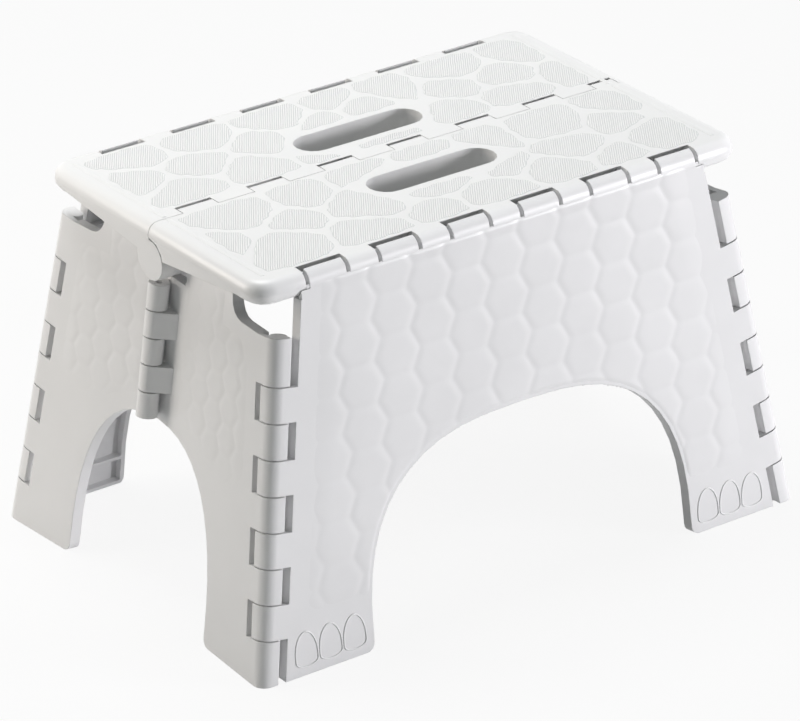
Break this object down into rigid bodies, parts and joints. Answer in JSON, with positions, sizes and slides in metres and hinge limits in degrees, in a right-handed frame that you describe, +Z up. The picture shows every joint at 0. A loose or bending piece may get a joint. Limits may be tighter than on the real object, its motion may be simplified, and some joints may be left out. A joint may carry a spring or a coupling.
{
  "type": "folding step stool",
  "caption": "White plastic folding step stool: hinged two-piece tread with hand slots on splayed arched side and end panels that fold flat on interleaved finger hinges.",
  "frame": {"origin": "on the floor under the middle of the open stool", "axes": "+X along the tread's long side, +Y from the front side panel to the rear one, +Z up"},
  "size_m": [0.3804, 0.266, 0.229],
  "materials": {
    "white_plastic": "satin moulded polypropylene",
    "pin_steel": "drawn wire"
  },
  "bodies": {
    "side_front": {"side_panel_front": "white_plastic", "pin_edge_front": "pin_steel", "pin_corner_left_front": "pin_steel", "pin_corner_right_front": "pin_steel"},
    "tread_front_half": {"tread_front": "white_plastic", "pin_tread_seam": "pin_steel"},
    "tread_rear_half": {"tread_rear": "white_plastic"},
    "side_rear": {"side_panel_rear": "white_plastic", "pin_edge_rear": "pin_steel", "pin_corner_left_rear": "pin_steel", "pin_corner_right_rear": "pin_steel"},
    "end_left_front": {"end_panel_left_front": "white_plastic"},
    "end_right_front": {"end_panel_right_front": "white_plastic", "pin_end_right": "pin_steel"},
    "end_left_rear": {"end_panel_left_rear": "white_plastic", "pin_end_left": "pin_steel"},
    "end_right_rear": {"end_panel_right_rear": "white_plastic"}
  },
  "joints": [
    {"name": "front_edge_hinge", "type": "hinge", "parent": "side_front", "child": "tread_front_half", "pos_m": [0, -0.0995, 0.2215], "axis": [1, 0, 0], "range_deg": [0, 82.75]},
    {"name": "seam_hinge", "type": "hinge", "parent": "tread_front_half", "child": "tread_rear_half", "pos_m": [0, 0, 0.207], "axis": [1, 0, 0], "range_deg": [-178.85, 0]},
    {"name": "rear_edge_hinge", "type": "hinge", "parent": "tread_rear_half", "child": "side_rear", "pos_m": [0, 0.0995, 0.2215], "axis": [1, 0, 0], "range_deg": [0, 82.75]},
    {"name": "corner_hinge_left_front", "type": "hinge", "parent": "side_front", "child": "end_left_front", "pos_m": [-0.18303, -0.12566, -0.00208], "axis": [0.155, 0.1148, 0.9812], "range_deg": [-87.62, 0]},
    {"name": "corner_hinge_right_front", "type": "hinge", "parent": "side_front", "child": "end_right_front", "pos_m": [0.18303, -0.12566, -0.00208], "axis": [-0.155, 0.1148, 0.9812], "range_deg": [0, 87.62]},
    {"name": "corner_hinge_left_rear", "type": "hinge", "parent": "side_rear", "child": "end_left_rear", "pos_m": [-0.18303, 0.12566, -0.00208], "axis": [0.155, -0.1148, 0.9812], "range_deg": [0, 87.62]},
    {"name": "corner_hinge_right_rear", "type": "hinge", "parent": "side_rear", "child": "end_right_rear", "pos_m": [0.18303, 0.12566, -0.00208], "axis": [-0.155, -0.1148, 0.9812], "range_deg": [-87.62, 0]}
  ],
  "couplings": [
    {"joint": "seam_hinge", "follows": "front_edge_hinge", "ratio": -2.1613},
    {"joint": "rear_edge_hinge", "follows": "front_edge_hinge", "ratio": 1},
    {"joint": "corner_hinge_left_front", "follows": "front_edge_hinge", "ratio": -1.0587},
    {"joint": "corner_hinge_right_front", "follows": "front_edge_hinge", "ratio": 1.0587},
    {"joint": "corner_hinge_left_rear", "follows": "front_edge_hinge", "ratio": 1.0587},
    {"joint": "corner_hinge_right_rear", "follows": "front_edge_hinge", "ratio": -1.0587}
  ]
}
